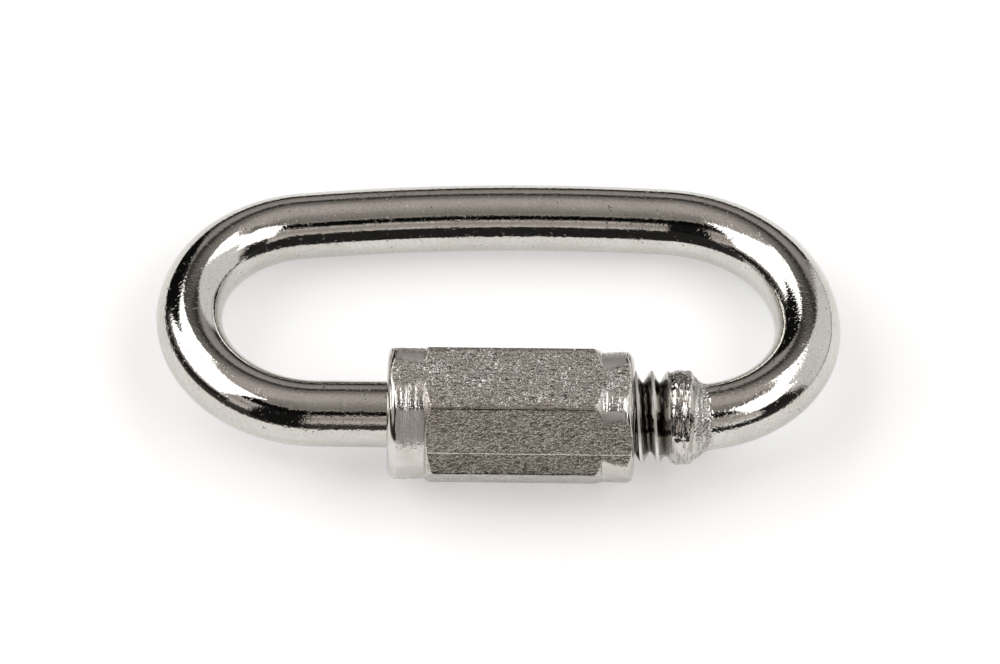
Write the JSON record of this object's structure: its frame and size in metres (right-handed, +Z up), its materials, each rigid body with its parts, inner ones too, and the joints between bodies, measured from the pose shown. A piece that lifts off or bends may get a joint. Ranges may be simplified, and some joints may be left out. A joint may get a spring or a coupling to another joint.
{
  "type": "quick link",
  "caption": "Oval link bent from round steel bar, with a long hexagonal sleeve nut that screws across its threaded mouth to close it.",
  "frame": {"origin": "middle of the footprint, on the surface that the link lies on", "axes": "+X along the nut and the thread, towards the collar; +Y across the loop, from the nut to the far bar; +Z up"},
  "size_m": [0.0412, 0.0226, 0.0077],
  "materials": {
    "bar_steel": "bright polished steel, lightly tumbled",
    "nut_steel": "satin, fine grained, with turned ends"
  },
  "bodies": {
    "link": {"link_bar": "bar_steel"},
    "nut": {"sleeve_nut": "nut_steel"}
  },
  "joints": [
    {"name": "nut_travel", "type": "slide", "parent": "link", "child": "nut", "axis": [1, 0, 0], "range_m": [-0.007, 0.002]}
  ]
}
